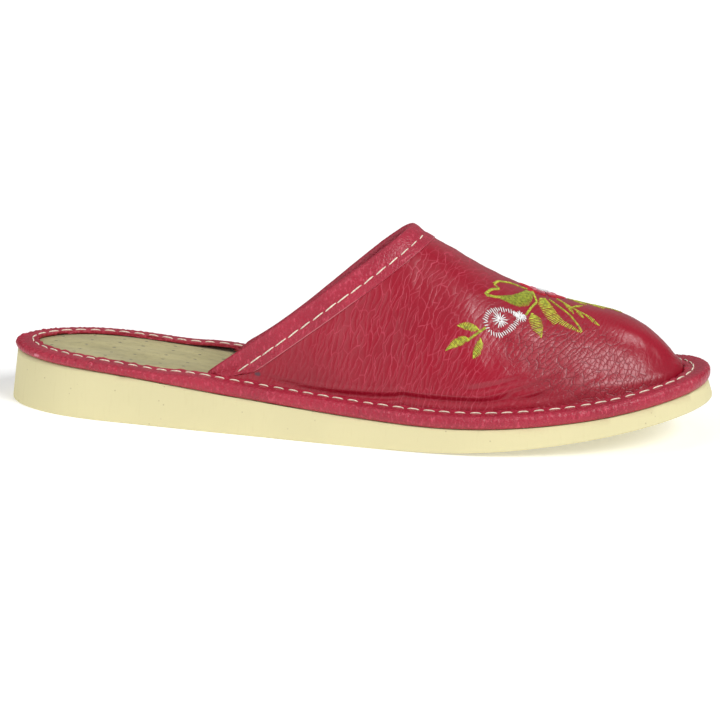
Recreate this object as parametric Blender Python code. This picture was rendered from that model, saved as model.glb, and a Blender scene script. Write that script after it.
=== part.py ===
"""Right-foot backless slipper: foam wedge sole, suede insole, leather vamp, collar band and rim binding.

Metres. +X points to the toe and -Y to the outer side of the foot. Shapes are worked out with the
back of the heel at X = 0 and the tread at Z = 0, and an empty then brings the middle of the sole to
the origin.
"""

import math

import bmesh
import bpy
import numpy as np

# Sizes that can be set one by one
LENGTH = 0.262  # sole, heel to toe
BALL_WIDTH = 0.088  # sole across the ball, square to its length
HEEL_WIDTH = 0.060  # sole across the heel
HEEL_HEIGHT = 0.0192  # thickness of the sole under the heel
FRONT_HEIGHT = 0.0064  # thickness of the sole under the toes
TOE_SPRING = 0.0157  # lift of the tread at the tip of the toe
SOLE_FLARE = 0.0020  # how far the side of the sole leans in on its way up
INSTEP = 0.0597  # height of the vamp over its own flange, at the collar
VAMP_LENGTH = 0.1012  # collar top to the foot of the vamp at the toe
COLLAR_REACH = 0.0708  # how far the ends of the collar lie behind its top
INSOLE_THICKNESS = 0.0018
UPPER_WALL = 0.0012
RIM_LEATHER = 0.0012
RIM_FLAP = 0.0087  # width of the rim binding over the insole and the vamp's flange
RIM_OVERHANG = 0.0008  # rim binding outside the top edge of the sole
RIM_RAMP = 0.0180  # length over which the rim binding climbs on to the vamp's flange
TOE_PLEATS = 0.0008  # extra thickness of the rim binding where it is pleated round the toe
BAND_LEATHER = 0.0007
BAND_FLAP = 0.0100  # width of the collar band outside the vamp
BAND_TURN_IN = 0.0085  # width of the collar band inside the vamp
CLEARANCE = 0.0003  # between pieces that lie on each other

# Insets from the outline of the tread
RIM_EDGE = SOLE_FLARE - RIM_OVERHANG
CORE_EDGE = RIM_EDGE + RIM_LEATHER + CLEARANCE
FEATHER = RIM_EDGE + RIM_FLAP + CLEARANCE

# Levels above the top of the sole
INSOLE_TOP = CLEARANCE + INSOLE_THICKNESS
FLANGE_TOP = INSOLE_TOP + CLEARANCE + UPPER_WALL
BAND_FOLD = UPPER_WALL / 2 + CLEARANCE + BAND_LEATHER

# Mesh fineness
SPLINE_STEPS = 24
OUTLINE_STRIDE = 6
SOLE_CUTS = 30
VAMP_RIBS = 32
SIDE_STEPS = np.linspace(0, 1, 14) ** 1.15  # from the foot of the wall to its ridge
FOLD_STEPS = 4
FLAP_STATIONS = 4
FIRST_BAND_STEP = 1.3  # the band's second section lies at least this many times as far up as its first
MARCH_STEPS = 20
SMALL_STEP = 1e-3  # share of the vamp over which its directions are read
MERGE = 1e-6
ON_OUTLINE = 1e-5  # a vertex this close to an outline belongs to it
SHARP_EDGE = math.radians(40)


def table(names, *rows):
    """Named columns, as arrays, from rows of numbers."""
    return dict(zip(names.split(), np.array(rows, float).T))


# Half widths of the tread as shares of HEEL_WIDTH, then of BALL_WIDTH; along is a share of LENGTH
HEEL_PLAN = table(
    "along outer inner",
    (0.02, 0.215, 0.238),
    (0.05, 0.337, 0.360),
    (0.10, 0.447, 0.455),
    (0.20, 0.523, 0.478),
    (0.30, 0.570, 0.472),
    (0.40, 0.613, 0.463),
)
BALL_PLAN = table(
    "along outer inner",
    (0.50, 0.450, 0.350),
    (0.60, 0.475, 0.431),
    (0.70, 0.478, 0.523),
    (0.80, 0.424, 0.541),
    (0.90, 0.316, 0.476),
    (0.95, 0.218, 0.404),
    (0.98, 0.122, 0.285),
)
TOE_SIDE = 0.051  # the toe's tip lies this share of BALL_WIDTH to the inner side

# Wedge of the sole: 1 is HEEL_HEIGHT thick and 0 is FRONT_HEIGHT thick
WEDGE = table(
    "along share",
    (0.00, 1.00),
    (0.15, 0.88),
    (0.35, 0.54),
    (0.55, 0.25),
    (0.75, 0.08),
    (0.90, 0.00),
    (1.00, 0.00),
)
SPRING_START = 0.585  # share of LENGTH where the tread leaves the floor
SPRING_POWER = 1.9

# The vamp from the collar, 0, to the toe, 1, along its ridge. height is a share of INSTEP and side
# a share of BALL_WIDTH. A high spread keeps the wall upright for longer, a high fullness lifts it
# sooner, a high foot softens its start, and a high sweep carries the rib forward sooner.
VAMP = table(
    "along height side spread fullness outer_foot inner_foot outer_sweep inner_sweep",
    (0.00, 0.998, 0.060, 1.63, 2.66, 1.02, 1.35, 2.69, 2.22),
    (0.12, 0.898, 0.059, 1.57, 2.55, 1.07, 1.31, 2.50, 2.14),
    (0.25, 0.785, 0.058, 1.52, 2.42, 1.12, 1.26, 2.30, 2.04),
    (0.40, 0.656, 0.056, 1.45, 2.30, 1.17, 1.21, 2.10, 2.00),
    (0.55, 0.563, 0.054, 1.38, 2.26, 1.19, 1.19, 1.98, 1.98),
    (0.70, 0.490, 0.053, 1.30, 2.26, 1.19, 1.19, 1.98, 1.98),
    (0.85, 0.348, 0.052, 1.22, 2.28, 1.18, 1.18, 2.00, 2.00),
    (0.95, 0.162, 0.051, 1.17, 2.30, 1.17, 1.17, 2.00, 2.00),
    (1.00, 0.000, 0.051, 1.15, 2.31, 1.17, 1.17, 2.00, 2.00),
)
RIB_CROWDING = 0.35  # ribs are this much closer together on the ridge, at the collar
TIP_POWER = 8  # a high power turns the ridge to the toe's tip only at its end

# Section of the rim binding: outer face and corner, as shares of its height and of the corner
RIM_SECTION = table(
    "inward rise",
    (0.45, 0.00),
    (0.05, 0.22),
    (0.00, 0.50),
    (0.12, 0.76),
    (0.50, 0.94),
    (1.00, 1.00),
)
RIM_CORNER = 0.0022
PLEATS_START = 0.80  # share of LENGTH from which the pleats thicken the rim binding

COLOURS = {
    "sole": ((0.80, 0.70, 0.42), 0.85),
    "insole": ((0.42, 0.35, 0.17), 0.90),
    "upper": ((0.42, 0.012, 0.030), 0.42),
    "collar_binding": ((0.44, 0.015, 0.035), 0.40),
    "rim_binding": ((0.45, 0.016, 0.038), 0.40),
}


def clear_scene():
    for obj in list(bpy.data.objects):
        bpy.data.objects.remove(obj, do_unlink=True)


def flow(rows, name, along):
    """Smooth curve without overshoot through one column of a table, read at along."""
    t, v = rows["along"], rows[name]
    step = np.diff(t)
    slope = np.diff(v) / step
    tangent = np.zeros(len(t))
    tangent[0], tangent[-1] = slope[0], slope[-1]
    before, after = 2 * step[1:] + step[:-1], step[1:] + 2 * step[:-1]
    for i in np.flatnonzero(slope[:-1] * slope[1:] > 0):
        tangent[i + 1] = (before[i] + after[i]) / (before[i] / slope[i] + after[i] / slope[i + 1])
    along = np.asarray(along, float)
    i = np.clip(np.searchsorted(t, along, "right") - 1, 0, len(step) - 1)
    s = np.clip((along - t[i]) / step[i], 0, 1)
    rest = 1 - s
    return (
        v[i] * rest**2 * (1 + 2 * s)
        + v[i + 1] * s**2 * (1 + 2 * rest)
        + step[i] * s * rest * (tangent[i] * rest - tangent[i + 1] * s)
    )


def ease(x):
    """0 to 1 with level ends."""
    x = np.clip(x, 0, 1)
    return x * x * (3 - 2 * x)


def closed_spline(points, steps):
    """Points on a closed cubic through the given ones, with continuous curvature."""
    count = len(points)
    chord = np.linalg.norm(np.roll(points, -1, 0) - points, axis=1)
    system = np.zeros((count, count))
    right = np.zeros((count, 2))
    for i in range(count):
        back, ahead = chord[i - 1], chord[i]
        following = (i + 1) % count
        system[i, i - 1] += 1 / back
        system[i, i] += 2 / back + 2 / ahead
        system[i, following] += 1 / ahead
        right[i] = 3 * (points[i] - points[i - 1]) / back**2 + 3 * (points[following] - points[i]) / ahead**2
    tangent = np.linalg.solve(system, right)
    s = np.linspace(0, 1, steps, endpoint=False)[:, None]
    rest = 1 - s
    pieces = []
    for i in range(count):
        following = (i + 1) % count
        pieces.append(
            points[i] * rest**2 * (1 + 2 * s)
            + points[following] * s**2 * (1 + 2 * rest)
            + chord[i] * s * rest * (tangent[i] * rest - tangent[following] * s)
        )
    return np.concatenate(pieces)


def tread_outline():
    """The tread seen from above: heel, outer side, toe, then back along the inner side."""
    rows = [
        (along * LENGTH, outer * width, inner * width)
        for plan, width in ((HEEL_PLAN, HEEL_WIDTH), (BALL_PLAN, BALL_WIDTH))
        for along, outer, inner in zip(plan["along"], plan["outer"], plan["inner"])
    ]
    outer_side = [(x, -outer) for x, outer, _ in rows]
    inner_side = [(x, inner) for x, _, inner in reversed(rows)]
    points = [(0, 0), *outer_side, (LENGTH, TOE_SIDE * BALL_WIDTH), *inner_side]
    return closed_spline(np.array(points), SPLINE_STEPS)


def inset(outline, distance):
    """The outline moved inwards by a distance, point by point."""
    tangent = np.roll(outline, -1, 0) - np.roll(outline, 1, 0)
    tangent /= np.linalg.norm(tangent, axis=1)[:, None]
    inward = np.stack([-tangent[:, 1], tangent[:, 0]], axis=1)
    return outline + inward * distance


def tread_height(x):
    """Underside of the sole: flat from the heel to the ball, then the toe spring."""
    share = np.clip((x / LENGTH - SPRING_START) / (1 - SPRING_START), 0, None)
    return TOE_SPRING * share**SPRING_POWER


def sole_top(x):
    along = np.clip(x / LENGTH, 0, 1)
    thickness = FRONT_HEIGHT + (HEEL_HEIGHT - FRONT_HEIGHT) * flow(WEDGE, "share", along)
    return tread_height(x) + thickness


TREAD = tread_outline()


def feather_path(side):
    """Foot of the vamp's wall on one side, from the collar's end to the toe's tip, with its share."""
    line = inset(TREAD, FEATHER)
    tip = int(np.argmax(line[:, 0]))
    path = line[: tip + 1] if side < 0 else np.concatenate([line[tip:], line[:1]])[::-1]
    start = path[-1, 0] - VAMP_LENGTH - COLLAR_REACH
    first = int(np.argmax(path[:, 0] >= start))
    share = (start - path[first - 1, 0]) / (path[first, 0] - path[first - 1, 0])
    path = np.concatenate([[path[first - 1] + (path[first] - path[first - 1]) * share], path[first:]])
    run = np.concatenate([[0], np.cumsum(np.linalg.norm(np.diff(path, axis=0), axis=1))])
    return path, run / run[-1]


FEATHER_PATHS = {side: feather_path(side) for side in (-1, 1)}
TOE_TIP = FEATHER_PATHS[-1][0][-1]
COLLAR_END = FEATHER_PATHS[-1][0][0][0]


def vamp_point(rib, across, side):
    """Outer face of the vamp. rib runs from the collar, 0, to the toe, 1, and across from the foot
    of the wall, 0, to the ridge, 1, on the outer side, -1, or the inner side, 1."""
    rib, across = np.broadcast_arrays(np.asarray(rib, float), np.asarray(across, float))
    path, share = FEATHER_PATHS[side]
    foot_x, foot_y = (np.interp(rib, share, path[:, i]) for i in (0, 1))
    along = rib * (RIB_CROWDING + (1 - RIB_CROWDING) * rib)
    name = "outer" if side < 0 else "inner"
    ridge_x = TOE_TIP[0] - VAMP_LENGTH * (1 - along)
    ridge_y = flow(VAMP, "side", along) * BALL_WIDTH
    ridge_y = ridge_y + (TOE_TIP[1] - ridge_y) * along**TIP_POWER
    from_ridge = 1 - across
    x = foot_x + (ridge_x - foot_x) * (1 - from_ridge ** flow(VAMP, name + "_sweep", along))
    y = foot_y + (ridge_y - foot_y) * across ** flow(VAMP, "spread", along)
    rise = (1 - from_ridge ** flow(VAMP, "fullness", along)) ** flow(VAMP, name + "_foot", along)
    z = sole_top(x) + FLANGE_TOP + INSTEP * flow(VAMP, "height", along) * rise
    return np.stack([x, y, z], axis=-1)


def unit(vectors):
    return vectors / np.linalg.norm(vectors, axis=-1, keepdims=True)


def vamp_frame(rib, across, side):
    """Point, outward normal and directions along the rib and away from the collar."""
    point = vamp_point(rib, across, side)
    up_rib = (point - vamp_point(rib, across - SMALL_STEP, side)) / SMALL_STEP
    forward = (vamp_point(rib + SMALL_STEP, across, side) - point) / SMALL_STEP
    normal = unit(np.cross(forward, up_rib)) * -side
    into = unit(np.cross(normal, up_rib))
    into *= np.sign((into * forward).sum(-1, keepdims=True))
    return point, normal, into, forward


def add_object(name, mesh, parent):
    colour, roughness = COLOURS[name]
    material = bpy.data.materials.new(name)
    material.use_nodes = True
    shader = material.node_tree.nodes["Principled BSDF"]
    shader.inputs["Base Color"].default_value = (*colour, 1)
    shader.inputs["Roughness"].default_value = roughness
    shader.inputs["Metallic"].default_value = 0
    material.diffuse_color = (*colour, 1)
    mesh.materials.append(material)
    mesh.shade_smooth()
    mesh.set_sharp_from_angle(angle=SHARP_EDGE)
    obj = bpy.data.objects.new(name, mesh)
    bpy.context.scene.collection.objects.link(obj)
    obj.parent = parent
    return obj


def mesh_of(name, form):
    bmesh.ops.remove_doubles(form, verts=form.verts, dist=MERGE)
    mesh = bpy.data.meshes.new(name)
    form.to_mesh(mesh)
    form.free()
    return mesh


def slab(name, outline, low, high, top_inset):
    """A sheet with the given outline, bent lengthwise so that its faces follow low(x) and high(x)."""
    form = bmesh.new()
    form.faces.new([form.verts.new((x, y, 0)) for x, y in outline])
    for cut in np.linspace(0, LENGTH, SOLE_CUTS + 1)[1:-1]:
        everything = [*form.verts, *form.edges, *form.faces]
        bmesh.ops.bisect_plane(form, geom=everything, dist=MERGE, plane_co=(cut, 0, 0), plane_no=(1, 0, 0))
    below = list(form.verts)
    lifted = bmesh.ops.extrude_face_region(form, geom=list(form.faces))["geom"]
    above = [item for item in lifted if isinstance(item, bmesh.types.BMVert)]
    line = np.array(outline)
    inner = inset(line, top_inset)
    for vert in above:
        nearest = np.argsort(((line - (vert.co.x, vert.co.y)) ** 2).sum(axis=1))[:2]
        first, second = line[nearest]
        share = np.dot((vert.co.x, vert.co.y) - first, second - first) / ((second - first) ** 2).sum()
        foot = first + (second - first) * share
        if np.hypot(*(foot - (vert.co.x, vert.co.y))) < ON_OUTLINE:
            moved = inner[nearest[0]] + (inner[nearest[1]] - inner[nearest[0]]) * share
            vert.co.x, vert.co.y = moved
    for vert in below:
        vert.co.z = low(vert.co.x)
    for vert in above:
        vert.co.z = high(vert.co.x)
    bmesh.ops.recalc_face_normals(form, faces=form.faces)
    return mesh_of(name, form)


def make_sole(parent):
    mesh = slab("sole", TREAD[::OUTLINE_STRIDE], tread_height, sole_top, SOLE_FLARE)
    add_object("sole", mesh, parent)


def make_insole(parent):
    def low(x):
        return sole_top(x) + CLEARANCE

    def high(x):
        return sole_top(x) + INSOLE_TOP

    outline = inset(TREAD, CORE_EDGE)[::OUTLINE_STRIDE]
    add_object("insole", slab("insole", outline, low, high, 0), parent)


def surface(form, rows):
    """Quads between rows of points."""
    verts = [[form.verts.new(point) for point in row] for row in rows]
    for one, two in zip(verts, verts[1:]):
        for a, b, c, d in zip(one, one[1:], two[1:], two):
            form.faces.new((a, b, c, d))


def flange_edge(rib, side):
    """Outer edge of the vamp's flange, straight out from the foot of the wall."""
    foot = vamp_point(rib, 0, side)
    ahead = vamp_point(min(rib + SMALL_STEP, 1), 0, side)
    behind = vamp_point(rib - SMALL_STEP, 0, side)
    tangent = unit((ahead - behind)[:2])
    if rib == 1:
        tangent = np.array((0, side * -1.0))
    outward = np.array((-tangent[1], tangent[0])) * side
    x, y = foot[:2] + outward * (FEATHER - CORE_EDGE - CLEARANCE)
    return np.array((x, y, sole_top(x) + FLANGE_TOP))


def make_upper(parent):
    """The vamp: one wall from flange to flange over the foot, open at the collar and underneath."""
    rows = []
    for rib in np.linspace(0, 1, VAMP_RIBS + 1):
        outer = vamp_point(rib, SIDE_STEPS, -1)
        inner = vamp_point(rib, SIDE_STEPS[:-1], 1)[::-1]
        rows.append([flange_edge(rib, -1), *outer, *inner, flange_edge(rib, 1)])
    form = bmesh.new()
    surface(form, rows)
    bmesh.ops.remove_doubles(form, verts=form.verts, dist=MERGE)
    if sum(face.normal.z * face.calc_area() for face in form.faces) < 0:
        bmesh.ops.reverse_faces(form, faces=form.faces)
    obj = add_object("upper", mesh_of("upper", form), parent)
    wall = obj.modifiers.new("wall", "SOLIDIFY")
    wall.thickness = UPPER_WALL
    wall.offset = -1
    wall.use_even_offset = True
    wall.use_quality_normals = True


def band_distance(widths, across, side):
    """Ribs at which the given widths from the collar edge are reached, and the frame there."""
    _, _, into, _ = vamp_frame(0.0, across, side)
    frames = []
    rib = 0.0
    reached = 0.0
    for width in widths:
        step = (width - reached) / MARCH_STEPS
        for _ in range(MARCH_STEPS):
            _, _, _, forward = vamp_frame(rib, across, side)
            rib = rib + step / float((forward * into).sum())
        reached = width
        point, normal, _, _ = vamp_frame(rib, across, side)
        frames.append((point, normal))
    return frames


def band_section(across, side):
    """Closed section of the collar band where it crosses one place of the collar edge."""
    edge, normal, into, _ = vamp_frame(0.0, across, side)
    outside = band_distance(np.linspace(0, BAND_FLAP, FLAP_STATIONS), across, side)
    inside = band_distance(np.linspace(0, BAND_TURN_IN, FLAP_STATIONS), across, side)
    middle = edge - normal * UPPER_WALL / 2
    angles = np.linspace(0, math.pi, FOLD_STEPS + 1)[1:-1]

    def layer(lift):
        turn = UPPER_WALL / 2 + lift
        fold = [middle + turn * (math.cos(a) * normal - math.sin(a) * into) for a in angles]
        over = [point + facing * lift for point, facing in reversed(outside)]
        under = [point - facing * (UPPER_WALL + lift) for point, facing in inside]
        return [*over, *fold, *under]

    return layer(CLEARANCE + BAND_LEATHER) + layer(CLEARANCE)[::-1]


def band_start(side):
    """Share of the collar edge that the rim binding covers, so that the band starts above it."""
    needed = (CLEARANCE + RIM_LEATHER + 2 * CLEARANCE) / INSTEP
    foot = VAMP["outer_foot" if side < 0 else "inner_foot"][0]
    return 1 - (1 - needed ** (1 / foot)) ** (1 / VAMP["fullness"][0])


def make_collar_binding(parent):
    """Folded band over the collar edge, from the rim binding on one side to that on the other."""
    sections = []
    for side in (-1, 1):
        start = band_start(side)
        places = [start, *SIDE_STEPS[SIDE_STEPS > start * FIRST_BAND_STEP]]
        half = [band_section(across, side) for across in places]
        sections += half if side < 0 else half[-2::-1]
    form = bmesh.new()
    surface(form, [[*section, section[0]] for section in sections])
    bmesh.ops.remove_doubles(form, verts=form.verts, dist=MERGE)
    ends = [edge for edge in form.edges if edge.is_boundary]
    bmesh.ops.holes_fill(form, edges=ends, sides=0)
    bmesh.ops.recalc_face_normals(form, faces=form.faces)
    add_object("collar_binding", mesh_of("collar_binding", form), parent)


def rim_under(x):
    """Underside of the rim binding's flap, which climbs from the insole on to the vamp's flange."""
    ramp_end = COLLAR_END - BAND_FOLD - CLEARANCE
    climbed = ease((x - ramp_end + RIM_RAMP) / RIM_RAMP)
    return sole_top(x) + INSOLE_TOP + CLEARANCE + climbed * (UPPER_WALL + CLEARANCE)


def rim_leather(x):
    return RIM_LEATHER + TOE_PLEATS * ease((x / LENGTH - PLEATS_START) / (1 - PLEATS_START))


def rim_section(place, inward):
    """Closed section of the rim binding: outer face, rounded corner, flap, and back inside."""

    def bottom(x):
        return sole_top(x) + CLEARANCE

    def top(x):
        return rim_under(x) + rim_leather(x)

    def at(distance, level, rise=1):
        x, y = place + inward * distance
        return np.array((x, y, bottom(x) + (level(x) - bottom(x)) * rise))

    places = zip(RIM_SECTION["inward"], RIM_SECTION["rise"])
    section = [at(share * RIM_CORNER, top, rise) for share, rise in places]
    middle = (RIM_CORNER + RIM_FLAP) / 2
    section += [at(middle, top), at(RIM_FLAP, top), at(RIM_FLAP, rim_under)]
    section += [at(middle, rim_under), at(RIM_LEATHER, rim_under), at(RIM_LEATHER, bottom)]
    return section


def make_rim_binding(parent):
    """Leather strip wrapped round the edge of the insole and the vamp's flange, all the way round."""
    edge = inset(TREAD, RIM_EDGE)
    tangent = unit(np.roll(edge, -1, 0) - np.roll(edge, 1, 0))
    inward = np.stack([-tangent[:, 1], tangent[:, 0]], axis=1)
    sections = [
        rim_section(edge[i], inward[i]) for i in range(0, len(edge), OUTLINE_STRIDE)
    ]
    form = bmesh.new()
    loops = [[*section, section[0]] for section in sections]
    surface(form, [*loops, loops[0]])
    bmesh.ops.remove_doubles(form, verts=form.verts, dist=MERGE)
    bmesh.ops.recalc_face_normals(form, faces=form.faces)
    add_object("rim_binding", mesh_of("rim_binding", form), parent)


def main():
    clear_scene()
    outline = TREAD[::OUTLINE_STRIDE]
    middle = (outline.min(axis=0) + outline.max(axis=0)) / 2
    slipper = bpy.data.objects.new("slipper", None)
    slipper.location = (-middle[0], -middle[1], 0)
    bpy.context.scene.collection.objects.link(slipper)
    make_sole(slipper)
    make_insole(slipper)
    make_upper(slipper)
    make_collar_binding(slipper)
    make_rim_binding(slipper)


main()
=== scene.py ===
"""Looks of a right-foot backless slipper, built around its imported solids.

Metres. +X points to the toe, -Y to the outer side of the foot and +Z up. Each piece starts from a copy
of the solid that it stands for, or lies on one.
"""
import math

import bmesh
import bpy
import numpy as np
from mathutils import Matrix, Vector
from mathutils.bvhtree import BVHTree
from mathutils.kdtree import KDTree


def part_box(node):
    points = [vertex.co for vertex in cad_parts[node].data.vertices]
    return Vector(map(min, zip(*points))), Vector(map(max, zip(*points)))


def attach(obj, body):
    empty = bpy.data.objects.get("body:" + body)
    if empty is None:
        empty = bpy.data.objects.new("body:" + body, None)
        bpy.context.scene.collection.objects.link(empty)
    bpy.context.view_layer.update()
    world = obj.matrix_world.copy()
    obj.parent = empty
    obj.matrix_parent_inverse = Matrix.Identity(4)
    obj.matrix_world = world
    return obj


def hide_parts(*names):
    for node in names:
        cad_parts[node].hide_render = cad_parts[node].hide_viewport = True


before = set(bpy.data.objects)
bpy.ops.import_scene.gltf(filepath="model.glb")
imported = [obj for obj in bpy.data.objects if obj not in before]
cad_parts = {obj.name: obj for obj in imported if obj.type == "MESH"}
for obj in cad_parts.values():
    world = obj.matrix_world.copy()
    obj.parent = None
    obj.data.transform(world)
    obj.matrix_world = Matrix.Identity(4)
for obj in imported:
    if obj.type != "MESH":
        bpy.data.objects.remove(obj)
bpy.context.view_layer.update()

bl_info = {
    "name": "Folk slipper",
    "version": (1, 0, 0),
    "blender": (4, 5, 0),
    "location": "3D View > Sidebar > Slipper",
    "description": "Builds the leather, foam, stitches and embroidery of a backless slipper",
    "category": "Add Mesh",
}

MM = 0.001
BODY = "root"
MERGE = 0.01 * MM  # points nearer than this are one
SHARP = math.radians(50)  # edges of the sole and the insole above this angle stay sharp
LEVEL = 0.7  # a face counts as level when its facing rises more than this
ABOVE = 0.2  # a height above every piece
PAST_VAMP = 0.15  # a distance past the vamp on every side
TOE_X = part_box("upper")[1].x
AXIS_Y = 2.0 * MM  # the vamp's lengthwise middle line, seen from above
AXIS_LIFT = 2.0 * MM  # how far that line runs above the insole
SURFACES = {}  # dressed pieces that others lie on, by name


# Small helpers


def vertex_places(mesh):
    flat = np.empty(len(mesh.vertices) * 3, np.float32)
    mesh.vertices.foreach_get("co", flat)
    return flat.reshape(-1, 3).astype(float)


def vertex_facings(mesh):
    flat = np.empty(len(mesh.vertices) * 3, np.float32)
    mesh.vertex_normals.foreach_get("vector", flat)
    return flat.reshape(-1, 3).astype(float)


def move_vertices(mesh, places):
    mesh.vertices.foreach_set("co", np.asarray(places, np.float32).ravel())
    mesh.update()


def ease(x):
    """0 to 1 with level ends."""
    x = np.clip(x, 0, 1)
    return x * x * (3 - 2 * x)


def rise(lengths, low, high):
    """0 to 1 with level ends, as lengths go from low to high, which are in mm. High may be below low."""
    return ease((lengths / MM - low) / (high - low))


def bell(lengths, middle, width):
    """1 at the middle and falling away on both sides. Middle and width are in mm."""
    return np.exp(-(((lengths / MM - middle) / width) ** 2))


def waves(place, seed, sizes):
    """Five soft random swells added up, about -1 to 1, with the given wavelengths along each axis."""
    draw = np.random.default_rng(seed)
    total = 0
    for _ in range(5):
        turn = draw.normal(size=place.shape[1])
        turn /= np.linalg.norm(turn)
        stretch = draw.uniform(0.7, 1.4)
        phase = draw.uniform(0, 2 * math.pi)
        total = total + np.sin(2 * math.pi * stretch * (place / sizes) @ turn + phase)
    return total / 5**0.5 / 1.4


def copied_solid(name):
    """A copy of a solid, merged and put back into four-sided faces."""
    form = bmesh.new()
    form.from_mesh(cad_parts[name].data)
    bmesh.ops.remove_doubles(form, verts=form.verts, dist=MERGE)
    bmesh.ops.join_triangles(
        form,
        faces=form.faces,
        angle_face_threshold=math.radians(40),
        angle_shape_threshold=math.radians(180),
    )
    form.normal_update()
    return form


def cut_across(form, place, facing):
    """Adds edges to a form where a plane crosses it, and returns what lies on the plane."""
    everything = [*form.verts, *form.edges, *form.faces]
    found = bmesh.ops.bisect_plane(form, geom=everything, dist=MERGE, plane_co=place, plane_no=facing)
    return found["geom_cut"]


def mesh_of(form, name):
    """Mesh of a form, which is freed."""
    mesh = bpy.data.meshes.new(name)
    form.to_mesh(mesh)
    form.free()
    return mesh


def rounded(form, levels):
    """Mesh of a form after rounding with subdivision."""
    mesh = mesh_of(form, "rough")
    rough = bpy.data.objects.new("rough", mesh)
    bpy.context.scene.collection.objects.link(rough)
    smoothing = rough.modifiers.new("rounding", "SUBSURF")
    smoothing.levels = smoothing.render_levels = levels
    graph = bpy.context.evaluated_depsgraph_get()
    smooth = bpy.data.meshes.new_from_object(rough.evaluated_get(graph))
    bpy.data.objects.remove(rough)
    bpy.data.meshes.remove(mesh)
    return smooth


def add_piece(name, mesh, finish, slot, *nodes):
    """Puts a finished mesh into the scene as a piece of the slipper."""
    mesh.materials.clear()
    mesh.materials.append(finish)
    mesh.shade_smooth()
    mesh.name = name
    piece = bpy.data.objects.new(name, mesh)
    bpy.context.scene.collection.objects.link(piece)
    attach(piece, BODY)
    if nodes:
        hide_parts(*nodes)
    return piece


def write_map(mesh, name, lengths):
    """Stores lengths on the surface as one of the mesh's own maps."""
    layer = mesh.uv_layers.new(name=name)
    corners = np.empty(len(mesh.loops), np.int32)
    mesh.loops.foreach_get("vertex_index", corners)
    layer.data.foreach_set("uv", lengths[corners].astype(np.float32).ravel())


def surface_of(mesh):
    """A mesh's faces, ready to be aimed at."""
    form = bmesh.new()
    form.from_mesh(mesh)
    tree = BVHTree.FromBMesh(form)
    form.free()
    return tree


def tree_of(line):
    """A line's points, ready for the nearest to be found."""
    tree = KDTree(len(line))
    for i, point in enumerate(line):
        tree.insert(point, i)
    tree.balance()
    return tree


# Lines on the slipper


def edge_line(name, between):
    """Ordered points of the closed line of edges that a test picks on a solid."""
    form = copied_solid(name)
    picked = {edge for edge in form.edges if len(edge.link_faces) == 2 and between(*edge.link_faces)}
    start = min(picked, key=lambda edge: (edge.verts[0].co.x, edge.verts[0].co.y))
    line, vert, edge = [start.verts[0].co.copy()], start.verts[1], start
    while True:
        line.append(vert.co.copy())
        onward = [e for e in vert.link_edges if e in picked and e is not edge]
        if not onward or onward[0] is start:
            break
        edge = onward[0]
        vert = edge.other_vert(vert)
        if vert is start.verts[0]:
            break
    form.free()
    points = np.array(line)
    area = np.sum(points[:, 0] * np.roll(points[:, 1], -1) - np.roll(points[:, 0], -1) * points[:, 1])
    return points if area > 0 else points[::-1]


def run_along(points):
    """Distance of each point along a line."""
    return np.concatenate([[0], np.cumsum(np.linalg.norm(np.diff(points, axis=0), axis=1))])


def point_at(line, run, distance):
    """The point of a line at a distance along it."""
    return np.array([np.interp(distance, run, line[:, i]) for i in range(line.shape[1])])


def even_line(points, step, closed):
    """Points at an even distance along a line, and the distance of each."""
    points = np.asarray(points, float)
    if closed:
        points = np.concatenate([points, points[:1]])
    run = run_along(points)
    count = max(2, round(run[-1] / step))
    at = np.linspace(0, run[-1], count + 1)
    if closed:
        at = at[:-1]
    return np.stack([np.interp(at, run, points[:, i]) for i in range(3)], axis=1), at


def softened(points, rounds, closed):
    """The points after rounds in which each goes half way to the middle of its neighbours."""
    points = np.array(points, float)
    for _ in range(rounds):
        mean = (np.roll(points, 1, 0) + np.roll(points, -1, 0)) / 2
        if not closed:
            mean[0], mean[-1] = points[0], points[-1]
        points = (points + mean) / 2
    return points


def inward_of(line):
    """Level unit vectors that point into a closed line, which runs anticlockwise."""
    along = np.roll(line, -1, 0) - np.roll(line, 1, 0)
    along /= np.linalg.norm(along[:, :2], axis=1)[:, None]
    return np.stack([-along[:, 1], along[:, 0], np.zeros(len(line))], axis=1)


def is_top_rim(one, two):
    """Whether one of two faces is level and looks up, and the other doesn't."""
    rises = sorted((one.normal.z, two.normal.z))
    return rises[1] > LEVEL >= rises[0]


OUTLINE, OUTLINE_RUN = even_line(edge_line("sole", is_top_rim), 0.5 * MM, True)
OUTLINE = softened(OUTLINE, 40, True)
OUTLINE_INWARD = inward_of(OUTLINE)
OUTLINE_LENGTH = OUTLINE_RUN[-1] + OUTLINE_RUN[1]
OUTLINE_TREE = tree_of([(x, y, 0) for x, y, _ in OUTLINE])


def round_the_edge(places):
    """For each place: distance round the sole's top edge, and inwards from it."""
    nearest = np.array([OUTLINE_TREE.find((x, y, 0))[1] for x, y, _ in places])
    offset = places[:, :2] - OUTLINE[nearest, :2]
    return OUTLINE_RUN[nearest], (offset * OUTLINE_INWARD[nearest, :2]).sum(axis=1)


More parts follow.
